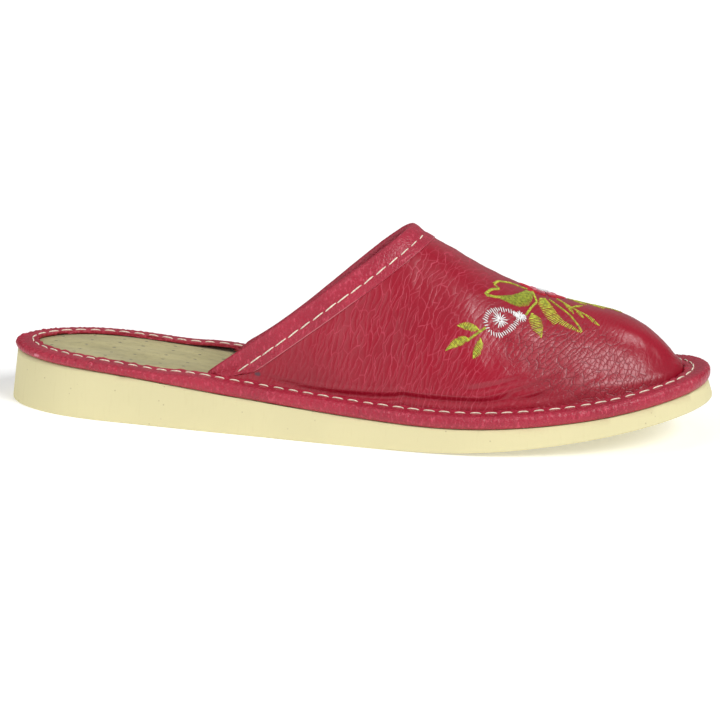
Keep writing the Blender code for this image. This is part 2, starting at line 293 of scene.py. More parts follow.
def collar_fold():
    """Points along the fold of the collar band, from the inner side of the foot to the outer one."""
    form = copied_solid("collar_binding")
    middle = Vector((0, AXIS_Y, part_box("insole")[1].z + AXIS_LIFT))
    fold = []
    for turn in np.radians(np.arange(-93, 94, 1.5)):
        across = Vector((0, -math.sin(turn), math.cos(turn)))
        cut = form.copy()
        found = cut_across(cut, middle, across.cross(Vector((1, 0, 0))))
        verts = [v.co.copy() for v in found if isinstance(v, bmesh.types.BMVert)]
        verts = [v for v in verts if (v - middle).dot(across) > 0]
        cut.free()
        if verts:
            fold.append(min(verts, key=lambda v: v.x))
    form.free()
    return softened(even_line(fold, 1 * MM, False)[0], 12, False)


FOLD, FOLD_RUN = even_line(collar_fold(), 0.5 * MM, False)
FOLD_TREE = tree_of(FOLD)


def from_fold(places):
    """For each place: the index of the nearest point of the collar's fold, and the distance to it."""
    found = [FOLD_TREE.find(place) for place in places]
    return np.array([f[1] for f in found]), np.array([f[2] for f in found])


class VampChart:
    """Lengths on the outside of the vamp: ahead of its collar's top, and down from its ridge.

    down is positive on the outer side of the foot. Sections stand square to the slipper's length, and
    each is read by its angle round a line inside the vamp."""

    SECTIONS = 50
    ROUND = 100  # how far each section is read on both sides of upright, in degrees
    RAYS = 101  # places read on each section

    def __init__(self):
        form = copied_solid("upper")
        self.surface = BVHTree.FromBMesh(form)
        self.start = max(form.verts, key=lambda vert: vert.co.z).co.x
        form.free()
        floor = surface_of(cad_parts["insole"].data)
        self.stations = np.linspace(self.start + 3 * MM, TOE_X - 4 * MM, self.SECTIONS)
        levels = [floor.ray_cast((x, AXIS_Y, ABOVE), (0, 0, -1))[0].z for x in self.stations]
        self.levels = np.array(levels) + AXIS_LIFT
        self.turns = np.radians(np.linspace(-self.ROUND, self.ROUND, self.RAYS))
        arcs = []
        for x in self.stations:
            ring = [self.hit(self.surface, x, turn)[0] for turn in self.turns]
            ring = np.array([point if point is not None else (np.nan,) * 3 for point in ring])
            steps = np.linalg.norm(np.diff(ring, axis=0), axis=1)
            steps = np.where(np.isnan(steps), np.nanmedian(steps), steps)
            arc = np.concatenate([[0], np.cumsum(steps)])
            arcs.append(arc - arc[len(arc) // 2])
        self.arcs = np.array(arcs)

    def level(self, x):
        """Height of the line inside the vamp."""
        return np.interp(x, self.stations, self.levels)

    def hit(self, surface, x, turn):
        """Point and facing where a ray square to the length, at an angle from upright, meets a surface."""
        way = Vector((0, -math.sin(turn), math.cos(turn)))
        middle = Vector((x, AXIS_Y, self.level(x)))
        return surface.ray_cast(middle + way * PAST_VAMP, -way)[:2]

    def row(self, x):
        """The section behind a length, and how far x is towards the next one."""
        last = len(self.stations) - 1
        at = np.clip(np.interp(x, self.stations, np.arange(last + 1)), 0, last)
        low = np.minimum(np.floor(at).astype(int), last - 1)
        return low, at - low

    def read(self, places):
        """Chart lengths of places near the vamp, in metres."""
        turn = np.arctan2(AXIS_Y - places[:, 1], places[:, 2] - self.level(places[:, 0]))
        column = np.clip(np.interp(turn, self.turns, np.arange(len(self.turns))), 0, len(self.turns) - 1.001)
        left = np.floor(column).astype(int)
        part = column - left
        low, share = self.row(places[:, 0])

        def arc(row):
            return self.arcs[row, left] * (1 - part) + self.arcs[row, left + 1] * part

        down = arc(low) * (1 - share) + arc(low + 1) * share
        return np.stack([places[:, 0] - self.start, down], axis=1)

    def place(self, surface, ahead, down):
        """Point and facing on a surface for chart lengths in metres."""
        x = self.start + ahead
        low, share = self.row(x)
        arc = self.arcs[low] * (1 - share) + self.arcs[low + 1] * share
        point, facing = self.hit(surface, x, float(np.interp(down, arc, self.turns)))
        if point is None:
            raise RuntimeError(f"the vamp isn't met at {ahead / MM:.1f}, {down / MM:.1f} mm")
        return point, facing


CHART = VampChart()


def outward_share(places, facings):
    """How much each facing points away from the vamp's lengthwise middle: 1 outside and -1 inside."""
    axis = np.stack([places[:, 0], np.full(len(places), AXIS_Y), CHART.level(places[:, 0])], axis=1)
    outward = places - axis
    return (outward * facings).sum(axis=1) / np.linalg.norm(outward, axis=1)


# Materials

# Centre and half sizes of spots, on the vamp's chart and, for the scuff, in the slipper's own lengths
# The creased oval also marks where the toe's cracks are painted dark as shade
CREASED_SHADED_OVAL = ((64 * MM, 29 * MM, 0), (44 * MM, 21 * MM, 1))  # where the toe part is creased dark
GREY_SPOT = ((-51.0 * MM, 65.2 * MM, 0), (1.7 * MM, 1.2 * MM, 1))  # by the foot of the band
SCUFF = ((-116.5 * MM, -22.4 * MM, 20.5 * MM), (2.2 * MM, 2.2 * MM, 0.9 * MM))  # rim, near the heel
SPOT_GREY = (0.055, 0.045, 0.06)
RUBBED_PINK = (0.85, 0.28, 0.36)
# Pale colour along the collar band's cut edge: a painted highlight on that thin edge
CUT_EDGE_HIGHLIGHT = (0.62, 0.20, 0.22)
PINHOLE = (0.12, 0.10, 0.05)
FOAM_PIT = (0.35, 0.27, 0.14)


def toned(colour, *shares):
    """The colour with its channels multiplied by one share or by three, and held to 1."""
    return tuple(min(1.0, c * s) for c, s in zip(colour, shares * 3 if len(shares) == 1 else shares))


class Finish:
    """A material and short ways to add nodes to it."""

    def __init__(self, name, colour, roughness):
        self.material = bpy.data.materials.new(name)
        self.material.use_nodes = True
        self.tree = self.material.node_tree
        self.shader = self.tree.nodes["Principled BSDF"]
        self.set(self.shader, {"Base Color": colour, "Roughness": roughness})
        self.material.diffuse_color = (*colour[:3], 1)

    def set(self, node, values):
        """Links or sets sockets, given by name or number."""
        for name, value in values.items():
            socket = node.inputs[name]
            if isinstance(value, bpy.types.NodeSocket):
                self.tree.links.new(value, socket)
            elif socket.type == "RGBA" and len(value) == 3:
                socket.default_value = (*value, 1)
            else:
                socket.default_value = value

    def add(self, kind, inputs=None, **settings):
        node = self.tree.nodes.new(kind)
        for name, value in settings.items():
            setattr(node, name, value)
        self.set(node, inputs or {})
        return node

    def coords(self, uv=None):
        """Lengths from one of the mesh's maps, or in the slipper's own frame."""
        if uv:
            return self.add("ShaderNodeUVMap", uv_map=uv).outputs["UV"]
        return self.add("ShaderNodeTexCoord").outputs["Object"]

    def scaled(self, vector, scale):
        return self.add("ShaderNodeMapping", {"Vector": vector, "Scale": scale}).outputs["Vector"]

    def turned(self, vector, size, degrees):
        """A flat vector turned, then measured in cells of the given width and length."""
        inputs = {"Vector": vector, "Rotation": (0, 0, math.radians(degrees)), "Scale": (*size, 1)}
        return self.add("ShaderNodeMapping", inputs, vector_type="TEXTURE").outputs["Vector"]

    def noise(self, vector, scale, detail=2.0, roughness=0.5, output="Fac"):
        inputs = {"Vector": vector, "Scale": scale, "Detail": detail, "Roughness": roughness}
        return self.add("ShaderNodeTexNoise", inputs).outputs[output]

    def math(self, operation, *values):
        return self.add("ShaderNodeMath", dict(enumerate(values)), operation=operation).outputs[0]

    def vectors(self, operation, inputs):
        node = self.add("ShaderNodeVectorMath", inputs, operation=operation)
        return node.outputs["Value" if operation == "LENGTH" else "Vector"]

    def part(self, vector, axis):
        return self.add("ShaderNodeSeparateXYZ", {"Vector": vector}).outputs[axis]

    def ramp(self, value, low, high, to_low=0.0, to_high=1.0):
        node = self.add("ShaderNodeMapRange", interpolation_type="SMOOTHSTEP")
        names = ("Value", "From Min", "From Max", "To Min", "To Max")
        self.set(node, dict(zip(names, (value, low, high, to_low, to_high))))
        return node.outputs["Result"]

    def blend(self, share, one, two):
        """One colour going over to another by a share. Each is a socket or a colour."""
        node = self.add("ShaderNodeMix", data_type="RGBA")
        sockets = {socket.identifier: i for i, socket in enumerate(node.inputs)}
        names = ("Factor_Float", "A_Color", "B_Color")
        self.set(node, {sockets[name]: value for name, value in zip(names, (share, one, two))})
        return next(socket for socket in node.outputs if socket.identifier == "Result_Color")

    def warped(self, vector, scale, amount):
        """The vector pushed about by noise."""
        shift = self.noise(vector, scale, 1.0, output="Color")
        centred = self.vectors("SUBTRACT", {0: shift, 1: (0.5, 0.5, 0.5)})
        push = self.vectors("SCALE", {0: centred, "Scale": amount})
        return self.vectors("ADD", {0: vector, 1: push})

    def cracks(self, vector, scale, dimensions="3D", randomness=1.0):
        """Distance from the edges of random cells."""
        inputs = {"Vector": vector, "Scale": scale, "Randomness": randomness}
        kind = {"feature": "DISTANCE_TO_EDGE", "voronoi_dimensions": dimensions}
        return self.add("ShaderNodeTexVoronoi", inputs=inputs, **kind).outputs["Distance"]

    def off_spot(self, vector, spot, raggedness, uneven):
        """Distance from a spot's centre in shares of its half sizes, made ragged by some noise."""
        inputs = {"Vector": vector, "Location": spot[0], "Scale": spot[1]}
        placed = self.add("ShaderNodeMapping", inputs, vector_type="TEXTURE").outputs["Vector"]
        return self.math("MULTIPLY_ADD", uneven, raggedness, self.vectors("LENGTH", {0: placed}))

    def finished(self, values, height, depth, strength=1.0):
        """The material, once its last values and its fine relief are set."""
        relief = self.add("ShaderNodeBump", {"Height": height, "Distance": depth, "Strength": strength})
        self.set(self.shader, {**values, "Normal": relief.outputs["Normal"]})
        return self.material


def vamp_leather(colours, sizes):
    """Half-gloss leather with long wavy pale lines at the back and a net of dark ones by the toe. The pale
    lines are painted sheen and the dark ones painted shade, both over real grain relief.
    """
    finish = Finish("vamp leather", colours.leather, 0.36)
    lengths = finish.coords("lengths")
    bent = finish.warped(finish.coords("grain"), 0.13 / MM, 1.8 * MM)
    bent = finish.warped(bent, 0.36 / MM, 1.1 * MM)
    wide, long = sizes.grain_width, sizes.grain_length
    net = finish.cracks(finish.turned(bent, (wide, long), 4), 1.0, "2D", 0.9)
    across = finish.cracks(finish.turned(bent, (wide * 0.75, long * 0.33), -25), 1.0, "2D")
    patch = finish.noise(lengths, 0.16 / MM, 3.0)

    # Long lines side by side, broken here and there, over a fainter net
    strand = finish.turned(bent, (wide * 1.15, long * 1.4), 4)
    sway = finish.noise(lengths, 0.09 / MM, 1.0)
    number = finish.math("MULTIPLY_ADD", sway, 3.5, finish.part(strand, "X"))
    lines = finish.ramp(finish.math("PINGPONG", number, 0.5), 0.0, 0.065, 1.0, 0.0)
    broken = finish.noise(strand, 0.9, 1.0)
    lines = finish.math("MULTIPLY", lines, finish.ramp(broken, 0.40, 0.54))
    thin = finish.ramp(net, 0.0, 0.05, 1.0, 0.0)
    thin = finish.math("MULTIPLY", thin, finish.ramp(patch, 0.35, 0.65, 0.65, 0.30))
    lines = finish.math("MAXIMUM", lines, thin)
    deep = finish.math("MAXIMUM", *(finish.ramp(cells, 0.0, 0.08, 1.0, 0.0) for cells in (net, across)))

    # Over an oval on each side of the toe part, the cracks are painted dark as shade, their relief is deeper
    # and the leather rougher, and the pale painted sheen fades
    sides = finish.vectors("ABSOLUTE", {0: lengths})
    creased_shaded = finish.ramp(finish.off_spot(sides, CREASED_SHADED_OVAL, 0.5, patch), 0.70, 1.50, 1.0, 0.0)
    deep = finish.math("MULTIPLY", deep, creased_shaded)

    # The pale lines, which are painted sheen, fade out towards the toe and low down at the back
    ahead, down = finish.part(lengths, "X"), finish.part(sides, "Y")
    shown = finish.ramp(ahead, 26 * MM, 50 * MM, 1.0, 0.12)
    low = finish.math("MULTIPLY_ADD", ahead, -1.0, down)
    shown = finish.math("MULTIPLY", shown, finish.ramp(low, 62 * MM, 100 * MM, 1.0, 0.30))

    cloud = finish.noise(lengths, 0.035 / MM, 3.0)
    base = finish.blend(finish.ramp(cloud, 0.3, 0.7), colours.leather, colours.leather_dark)
    # Line colour goes from the pale crease colour, painted sheen, to a dark red, painted shade, inside the
    # creased oval
    line_colour = finish.blend(creased_shaded, colours.crease, toned(colours.leather_dark, 0.30))
    pale = finish.math("MULTIPLY", lines, finish.ramp(creased_shaded, 0.0, 0.7, 0.75, 0.0))
    pale = finish.math("MULTIPLY", pale, shown)
    colour = finish.blend(finish.math("MULTIPLY_ADD", deep, 0.48, pale), base, line_colour)
    # A dark grey spot by the foot of the band
    off = finish.off_spot(lengths, GREY_SPOT, 0.8, finish.noise(lengths, 0.9 / MM))
    colour = finish.blend(finish.ramp(off, 0.7, 1.4, 0.8, 0.0), colour, SPOT_GREY)

    pores = finish.noise(lengths, 1.6 / MM, 2.0)
    height = finish.math("MULTIPLY_ADD", pale, -0.8, finish.ramp(net, 0.0, 0.35))
    height = finish.math("SUBTRACT", height, deep)
    height = finish.math("MULTIPLY", height, finish.ramp(creased_shaded, 0.0, 1.0, 0.55, 0.75))
    height = finish.math("MULTIPLY_ADD", pores, 0.08, height)
    rough = finish.math("MULTIPLY_ADD", pale, 0.35, finish.ramp(cloud, 0.2, 0.8, 0.30, 0.37))
    rough = finish.math("MULTIPLY_ADD", creased_shaded, 0.06, rough)
    values = {"Base Color": colour, "Roughness": rough, "Specular IOR Level": 0.62}
    return finish.finished(values, height, sizes.grain_depth)


def strip_leather(name, colours, edge_map=None, edge_at=0.0, scuff=None):
    """Leather of the bindings: smooth, with fine stretched pores tinted pale pink as painted highlight
    specks. A map marks a pale cut edge, which is a painted highlight along that edge.
    """
    finish = Finish(name, colours.binding, 0.38)
    place = finish.coords()
    pores = finish.noise(finish.scaled(place, (1.0 / MM, 1.0 / MM, 0.42 / MM)), 1.0, 3.0, 0.6)
    cloud = finish.noise(place, 0.05 / MM, 3.0)
    grit = finish.cracks(finish.warped(place, 0.5 / MM, 0.6 * MM), 0.75 / MM)
    dark = toned(colours.binding, 0.82)
    colour = finish.blend(finish.ramp(cloud, 0.3, 0.7), colours.binding, dark)
    # The pores take the pale crease colour: painted highlight specks
    colour = finish.blend(finish.ramp(pores, 0.52, 0.70, 0.0, 0.75), colour, colours.crease)
    colour = finish.blend(finish.ramp(grit, 0.0, 0.09, 0.30, 0.0), colour, dark)
    height = finish.math("MULTIPLY_ADD", pores, 1.2, finish.ramp(grit, 0.0, 0.25, 0.0, 0.5))
    if edge_map:
        across = finish.part(finish.coords(edge_map), "Y")
        gap = finish.math("ABSOLUTE", finish.math("SUBTRACT", across, edge_at))
        # Painted highlight along the cut edge
        colour = finish.blend(finish.ramp(gap, 0.05 * MM, 0.35 * MM, 0.75, 0.0), colour, CUT_EDGE_HIGHLIGHT)
    if scuff:
        off = finish.off_spot(place, scuff, 1.0, finish.noise(place, 1.4 / MM))
        colour = finish.blend(finish.ramp(off, 0.8, 1.4, 0.7, 0.0), colour, RUBBED_PINK)
    rough = finish.ramp(pores, 0.3, 0.7, 0.34, 0.46)
    return finish.finished({"Base Color": colour, "Roughness": rough}, height, 0.15 * MM)


def cream_foam(colours):
    """Matt foam with faint upright saw marks and a few pits."""
    finish = Finish("cream foam", colours.foam, 0.85)
    place = finish.coords()
    saw = finish.noise(finish.scaled(place, (900, 900, 18)), 1.0, 3.0)
    cells = finish.noise(place, 2.2 / MM, 2.0)
    cloud = finish.noise(place, 0.02 / MM, 3.0)
    dots = finish.add("ShaderNodeTexVoronoi", {"Vector": place, "Scale": 0.34 / MM}).outputs["Distance"]
    rare = finish.ramp(finish.noise(place, 0.11 / MM), 0.52, 0.60, 0.0, 0.5)
    pit = finish.math("MULTIPLY", finish.ramp(dots, 0.06, 0.13, 1.0, 0.0), rare)
    colour = finish.blend(finish.ramp(cloud, 0.35, 0.65), colours.foam, toned(colours.foam, 1.04))
    dark = toned(colours.foam, 0.90, 0.87, 0.80)
    colour = finish.blend(finish.ramp(saw, 0.55, 0.80, 0.0, 0.25), colour, dark)
    colour = finish.blend(pit, colour, FOAM_PIT)
    height = finish.math("MULTIPLY_ADD", saw, 0.7, finish.math("MULTIPLY", cells, 0.5))
    return finish.finished({"Base Color": colour}, height, 0.06 * MM)


def olive_suede(colours):
    """Suede with a nap brushed lengthwise and rows of pinholes."""
    finish = Finish("olive suede", colours.suede, 0.92)
    place = finish.coords()
    nap = finish.noise(finish.scaled(place, (350, 700, 700)), 1.0, 3.0, 0.6)
    cloud = finish.noise(finish.scaled(place, (45, 140, 140)), 1.0, 4.0, 0.6)
    fibre = finish.noise(place, 3.0 / MM, 2.0)
    pale, dark = toned(colours.suede, 1.35, 1.35, 1.40), toned(colours.suede, 0.72)
    colour = finish.blend(finish.ramp(cloud, 0.30, 0.70), colours.suede, pale)
    colour = finish.blend(finish.ramp(nap, 0.50, 0.80, 0.0, 0.75), colour, dark)
    colour = finish.blend(finish.ramp(nap, 0.46, 0.25, 0.0, 0.55), colour, pale)
    spaced = {"Vector": finish.scaled(place, (95, 150, 95)), "Scale": 1.0, "Randomness": 0.25}
    holes = finish.add("ShaderNodeTexVoronoi", spaced, voronoi_dimensions="2D").outputs["Distance"]
    hole = finish.ramp(holes, 0.045, 0.075, 1.0, 0.0)
    colour = finish.blend(hole, colour, PINHOLE)
    height = finish.math("MULTIPLY_ADD", nap, 0.8, finish.math("MULTIPLY", fibre, 0.5))
    height = finish.math("MULTIPLY_ADD", hole, -1.5, height)
    values = {"Base Color": colour, "Sheen Weight": 0.3, "Sheen Roughness": 0.5}
    return finish.finished(values, height, 0.16 * MM)


def thread_finish(name, colour, roughness, depth):
    """Thread with a fine twist. Its dark stretches are the colour times depth."""
    finish = Finish(name, colour, roughness)
    place = finish.coords()
    shade = finish.ramp(finish.noise(place, 1.1 / MM, 2.0), 0.30, 0.70)
    tone = finish.blend(shade, toned(colour, depth), toned(colour, 1.15))
    twist = finish.noise(place, 5.0 / MM, 1.0)
    values = {"Base Color": tone, "Sheen Weight": 0.1, "Sheen Roughness": 0.3}
    return finish.finished(values, twist, 0.10 * MM, 0.6)


# What a user can change


def mm_size(name, description, default, low, high):
    """A size that is written in mm."""
    return bpy.props.FloatProperty(
        name=name, description=description, default=default * MM, min=low * MM, max=high * MM,
        precision=5, subtype="DISTANCE", unit="LENGTH",
    )


def tint(name, description, default):
    return bpy.props.FloatVectorProperty(
        name=name, description=description, default=default, min=0, max=1, size=3, subtype="COLOR"
    )


class SlipperSizes(bpy.types.PropertyGroup):
    stitch_pitch: mm_size("Stitch pitch", "From one seam stitch to the next", 5.6, 3, 9)
    stitch_length: mm_size("Stitch length", "Length of a collar stitch with its sunk ends", 5.3, 2, 8)
    rim_stitch: mm_size("Rim stitch length", "Length of a rim stitch with its sunk ends", 4.4, 2, 8)
    seam_thread: mm_size("Seam thread", "Thickness of the thread in the seams", 0.56, 0.3, 1.5)
    seam_pull: mm_size("Seam pull", "Depth of the trough that a seam pulls into the leather", 0.18, 0, 0.5)
    collar_seam: mm_size("Collar seam", "From the collar's fold to its seam", 6.5, 3, 9)
    rim_seam: mm_size("Rim seam", "From the edge of the sole to the seam in the rim binding", 5.2, 3, 8)
    silk: mm_size("Embroidery thread", "Thickness of the embroidery thread", 0.40, 0.2, 0.8)
    undulation: mm_size("Undulation", "Height of the leather's soft swells", 0.35, 0, 1)
    pucker: mm_size("Pucker", "Depth of the small folds in the rim binding", 0.20, 0, 0.4)
    foot_roll: mm_size("Foot roll", "How far the foot of the vamp bulges over the rim strip", 0.9, 0, 2)
    grain_width: mm_size("Grain width", "Width of the grain's cells on the vamp", 2.1, 0.6, 4)
    grain_length: mm_size("Grain length", "Length of the grain's cells on the vamp", 8.0, 1, 12)
    grain_depth: mm_size("Grain depth", "Depth of the creases between the grain's cells", 0.07, 0, 0.4)


class SlipperColours(bpy.types.PropertyGroup):
    leather: tint("Leather", "Main colour of the vamp", (0.34, 0.0025, 0.020))
    leather_dark: tint("Leather, darker", "Darker patches of the vamp", (0.295, 0.002, 0.017))
    # Crease is a pale pink that stands for light: painted sheen on the vamp's grain lines and painted
    # highlight specks in the bindings' pores
    crease: tint("Crease", "Pale lines of the leather's grain", (0.62, 0.065, 0.115))
    binding: tint("Binding", "Colour of the rim and collar bindings", (0.42, 0.017, 0.045))
    foam: tint("Foam", "Colour of the sole", (0.70, 0.64, 0.37))
    suede: tint("Suede", "Colour of the insole", (0.37, 0.325, 0.136))
    seam: tint("Seam thread", "Colour of the seams", (0.86, 0.78, 0.62))
    lime: tint("Lime thread", "Leaves and stems of the embroidery", (0.60, 0.66, 0.055))
    green: tint("Green thread", "Darker leaf of the embroidery", (0.38, 0.43, 0.035))
    white: tint("White thread", "Blossoms of the embroidery", (0.93, 0.92, 0.90))
    rose: tint("Rose thread", "Petals of the embroidery", (0.62, 0.012, 0.035))
    pink: tint("Pink thread", "Inner petals of the embroidery", (0.75, 0.22, 0.28))


# Pieces


class SLIPPER_OT_sole(bpy.types.Operator):
    """Foam wedge with softened edges and faint saw marks"""

    bl_idname = "slipper.sole"
    bl_label = "Sole"
    bl_options = {"REGISTER", "UNDO"}

    SOFTENED = 0.6 * MM  # width of the rounding at the tread's edge

    def execute(self, context):
        form = copied_solid("sole")
        bmesh.ops.bevel(
            form, geom=[edge for edge in form.edges if self.is_tread_edge(edge)],
            offset=self.SOFTENED, offset_type="OFFSET", affect="EDGES", segments=3, profile=0.5, material=-1,
        )
        for level in np.arange(2, 21, 3) * MM:
            cut_across(form, (0, 0, level), (0, 0, 1))
        finish = cream_foam(context.scene.slipper_colours)
        piece = add_piece("foam_sole", mesh_of(form, "foam_sole"), finish, "sole_foam", "sole")
        piece.data.set_sharp_from_angle(angle=SHARP)
        return {"FINISHED"}

    @staticmethod
    def is_tread_edge(edge):
        """Whether an edge parts the tread from the side of the sole."""
        rises = sorted(face.normal.z for face in edge.link_faces)
        return rises[0] < -LEVEL and abs(rises[-1]) < 0.6


class SLIPPER_OT_insole(bpy.types.Operator):
    """Insole covered in suede, slightly dished and uneven"""

    bl_idname = "slipper.insole"
    bl_label = "Insole"
    bl_options = {"REGISTER", "UNDO"}

    SWELL = 0.22 * MM  # height of the soft swells
    DISH = 0.35 * MM  # how far the middle is trodden down

    def execute(self, context):
        form = copied_solid("insole")
        low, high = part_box("insole")
        for axis in (0, 1):
            facing = Vector((1 - axis, axis, 0))
            for cut in np.arange(low[axis] + 2 * MM, high[axis], 3 * MM):
                cut_across(form, facing * cut, facing)
        form.normal_update()
        places = np.array([vert.co for vert in form.verts])
        _, inward = round_the_edge(places)
        moves = waves(places[:, :2], 5, 22 * MM) * self.SWELL - rise(inward, 8, 22) * self.DISH
        for vert, move in zip(form.verts, moves * rise(inward, 6, 10)):
            if vert.normal.z > 0.5:
                vert.co.z += move
        finish = olive_suede(context.scene.slipper_colours)
        piece = add_piece("suede_insole", mesh_of(form, "suede_insole"), finish, "insole_suede", "insole")
        piece.data.set_sharp_from_angle(angle=SHARP)
        return {"FINISHED"}


# Main creases of the vamp, on its chart in mm: points as (ahead, down), then width and depth
CREASES = (
    (
        ((-50, 66.0), (-30.8, 70.3), (-10, 70.8), (2.2, 70.1), (16.8, 64.8), (31.2, 58.6), (45.1, 50.8),
         (56, 45)),
        1.0,
        0.95,
    ),
    (((25, 57.5), (33.0, 52.5), (41, 46.5), (48, 42)), 1.1, 0.60),
    (((34, 56.5), (42, 50.5), (51, 43.5), (58.5, 37.0)), 1.1, 0.78),
    (((42, 53.5), (50, 48), (59, 40.5), (66, 34.5)), 1.0, 0.66),
    (((51, 49.5), (60, 42.5), (68, 36), (73, 30)), 1.1, 0.50),
    (((30, 31), (38, 34), (47, 33), (54, 28)), 3.0, 0.25),
    (((70, 13), (78, 15), (86, 12.5), (91, 8)), 3.0, 0.40),
)


def crease_height(chart, points, width, depth):
    """Height of one crease at chart places: a soft trough with a low ridge on both sides."""
    line, _ = even_line([(a * MM, d * MM, 0) for a, d in points], 1 * MM, False)
    line = softened(line, 30, False)[:, :2]
    best = np.full(len(chart), 1.0)
    share = np.zeros(len(chart))
    for i in range(len(line) - 1):
        step = line[i + 1] - line[i]
        along = np.clip(((chart - line[i]) @ step) / (step @ step), 0, 1)
        gap = np.linalg.norm(chart - line[i] - along[:, None] * step, axis=1)
        nearer = gap < best
        best[nearer] = gap[nearer]
        share[nearer] = (i + along[nearer]) / (len(line) - 1)
    profile = 0.45 * bell(best, 2.0 * width, width) - bell(best, 0, width)
    return profile * np.sin(np.pi * np.clip(share, 0, 1)) ** 0.6 * depth * MM


class SLIPPER_OT_vamp(bpy.types.Operator):
    """Leather vamp with its creases and grain"""

    bl_idname = "slipper.vamp"
    bl_label = "Vamp"
    bl_options = {"REGISTER", "UNDO"}

    HELD = 7.4  # up to here, in mm inwards from the sole's edge, the flange is held under the strip
    FOOT = 10.4  # the middle of the roll at the wall's foot, measured in the same way
    LUMP = 0.13 * MM  # height of the small lumps where the wall leaves the strip
    SWELL = 26 * MM  # wavelength of the main swells
    # The finer swells: seed, wavelengths ahead and down in mm, and height in mm
    FINE_SWELLS = ((12, (7, 16), 0.08), (13, (2.6, 4.5), 0.03))
    FAR_SIDE = 0.35  # share of the creases' depth that is left on the inner side of the foot

    def execute(self, context):
        sizes, colours = context.scene.slipper_sizes, context.scene.slipper_colours
        mesh = self.plainer_lining(rounded(copied_solid("upper"), 3))
        places, facings = vertex_places(mesh), vertex_facings(mesh)
        chart = CHART.read(places)
        outward = np.sign(outward_share(places, facings))
        _, inward = round_the_edge(places)
        levelness = np.abs(facings[:, 2])
        off_band = rise(from_fold(places)[1], 7, 16)
        off_strip = rise(inward, self.HELD, self.HELD + 0.6) * off_band

        swells = waves(chart, 11, self.SWELL) * sizes.undulation
        for seed, lengths, high in self.FINE_SWELLS:
            swells += waves(chart, seed, np.array(lengths) * MM) * high * MM
        swells *= rise(TOE_X - places[:, 0], 7, 15) * rise(inward, 9.5, 13.5) * off_band

        both_sides = np.stack([chart[:, 0], np.abs(chart[:, 1])], axis=1)
        creases = sum(crease_height(both_sides, *crease) for crease in CREASES)
        creases *= self.FAR_SIDE + (1 - self.FAR_SIDE) * rise(chart[:, 1], -4, 4)
        creases *= off_strip * ease((0.92 - levelness) / 0.2)

        lumps = waves(chart, 14, np.array((3.2, 2.2)) * MM) * self.LUMP
        lumps *= off_strip * rise(inward, 9.0, 8.6)

        roll = bell(inward, self.FOOT, 1.3) * sizes.foot_roll
        roll *= ease((0.85 - levelness) / 0.3) * rise(places[:, 0], 60, 90)

        height = outward * (swells + creases + lumps + roll)
        move_vertices(mesh, places + facings * height[:, None])
        write_map(mesh, "lengths", chart)
        write_map(mesh, "grain", self.grain_lengths(chart))
        add_piece("leather_vamp", mesh, vamp_leather(colours, sizes), "upper_leather", "upper")
        SURFACES["vamp"] = surface_of(mesh)
        return {"FINISHED"}

    @staticmethod
    def plainer_lining(mesh):
        """The mesh with fewer faces on its inner side, which has no creases to carry."""
        inside = outward_share(vertex_places(mesh), vertex_facings(mesh)) < -0.25
        form = bmesh.new()
        form.from_mesh(mesh)
        inner = [vert for vert, is_inside in zip(form.verts, inside) if is_inside]
        bmesh.ops.unsubdivide(form, verts=inner, iterations=2)
        form.to_mesh(mesh)
        form.free()
        return mesh

    @staticmethod
    def grain_lengths(chart):
        """Chart lengths sheared so that the grain leans forward in the middle, and finer at the toe."""
        ahead, down = chart.T
        from_ridge = np.hypot(down, 8 * MM)
        lean = np.interp(ahead / MM, (-60, 0, 30, 62, 95), (0.15, 0.12, 0.42, 0.62, 0.10))
        finer = np.interp(ahead / MM, (-60, 25, 60, 110), (-60, 25, 62, 119)) * MM
        taller = 1 + 0.25 * rise(ahead, 20, 60)
        return np.stack([finer + lean * (from_ridge - 28 * MM), down * taller], axis=1)


